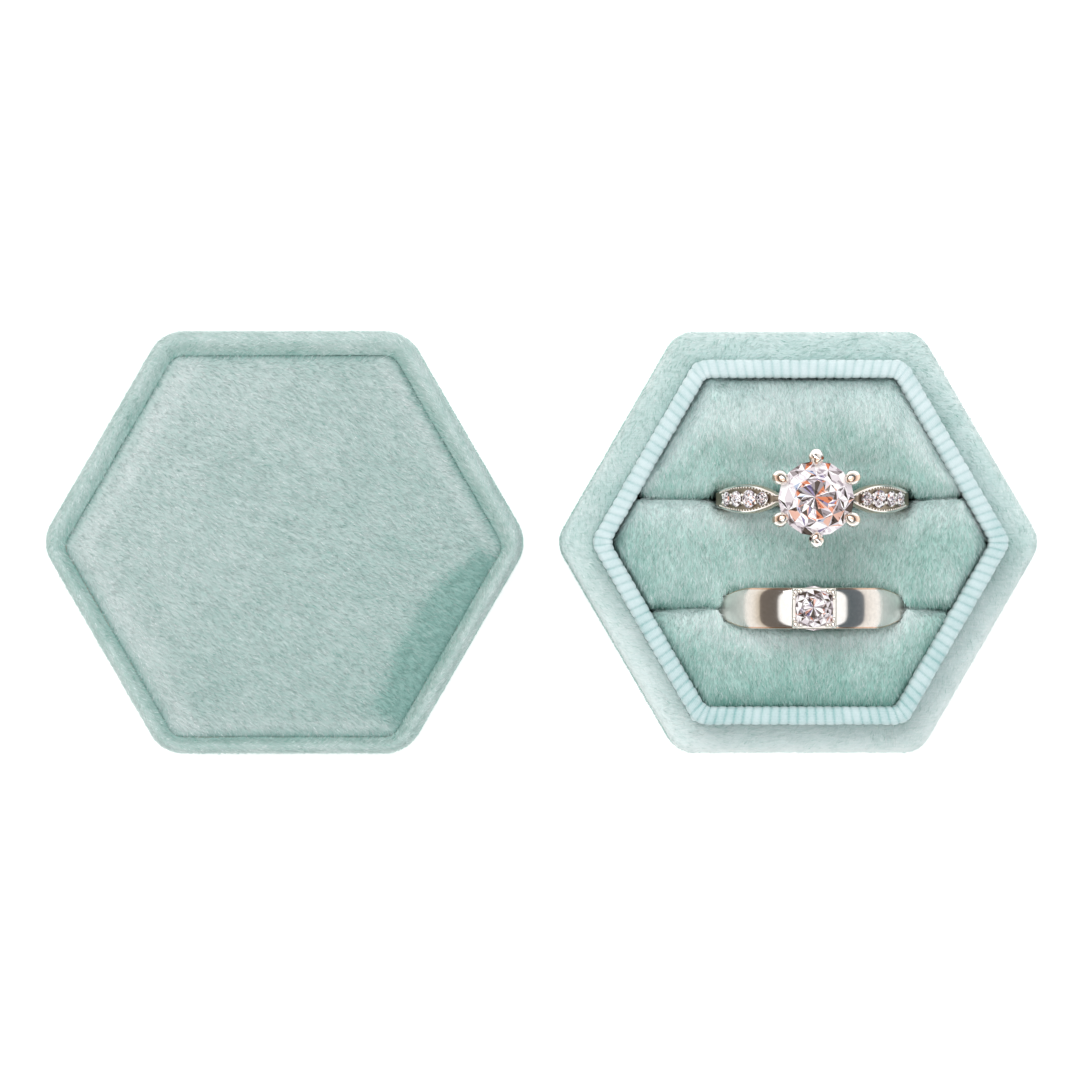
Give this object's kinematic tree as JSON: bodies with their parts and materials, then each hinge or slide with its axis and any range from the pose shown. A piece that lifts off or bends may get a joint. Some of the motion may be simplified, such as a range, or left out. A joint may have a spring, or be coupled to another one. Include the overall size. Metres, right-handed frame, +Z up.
{
  "type": "ring box",
  "caption": "Hexagonal velvet ring box, open: a lift-off lid lying beside a base whose ribbon collar holds a slotted cushion with rings standing in it.",
  "frame": {"origin": "centre of the base's underside, on the surface the box stands on", "axes": "+Z up, towards the cushion and the rings; +X through a corner of the hexagon, away from the lid; +Y towards the back flat, the solitaire's side; the ring slots run along X"},
  "size_m": [0.1059, 0.045, 0.0386],
  "materials": {
    "velvet": "short pile velvet, pale teal, matt with a soft sheen",
    "cushion_velvet": "short pile velvet on the cushion rolls, pale teal",
    "ribbon": "ribbed grosgrain ribbon, pale ice blue, slight lustre",
    "felt": "thin felt pad",
    "board": "uncoated greyboard, hidden",
    "foam": "soft polyurethane foam, hidden",
    "lining": "satin lining, pale blue",
    "white_gold": "polished white metal with a faint warm tint",
    "clear_stone": "clear faceted stone"
  },
  "bodies": {
    "base": {"base_underside_felt": "felt", "base_bottom_board": "board", "base_wall_board": "board", "base_velvet_wrap": "velvet", "collar_board": "board", "collar_ribbon": "ribbon", "insert_board": "board", "cushion_foam_1": "foam", "cushion_foam_2": "foam", "cushion_foam_3": "foam", "cushion_velvet_1": "cushion_velvet", "cushion_velvet_2": "cushion_velvet", "cushion_velvet_3": "cushion_velvet"},
    "lid": {"lid_wall_board": "board", "lid_velvet_wrap": "velvet", "lid_top_board": "board", "lid_top_foam": "foam", "lid_top_velvet": "velvet", "lid_lining_wall": "lining", "lid_lining_top": "lining"},
    "solitaire_ring": {"solitaire_shank": "white_gold", "solitaire_head": "white_gold", "solitaire_stone": "clear_stone", "accent_stone_1": "clear_stone", "accent_stone_2": "clear_stone", "accent_stone_3": "clear_stone", "accent_stone_4": "clear_stone", "accent_stone_5": "clear_stone", "accent_stone_6": "clear_stone", "accent_stone_7": "clear_stone", "accent_stone_8": "clear_stone"},
    "band_ring": {"band_shank": "white_gold", "band_stone": "clear_stone"}
  },
  "joints": [
    {"name": "lid_lift", "type": "slide", "parent": "base", "child": "lid", "axis": [0, 0, 1], "range_m": [0, 0.06]},
    {"name": "solitaire_lift", "type": "slide", "parent": "base", "child": "solitaire_ring", "axis": [0, 0, 1], "range_m": [0, 0.03]},
    {"name": "band_lift", "type": "slide", "parent": "base", "child": "band_ring", "axis": [0, 0, 1], "range_m": [0, 0.03]}
  ]
}
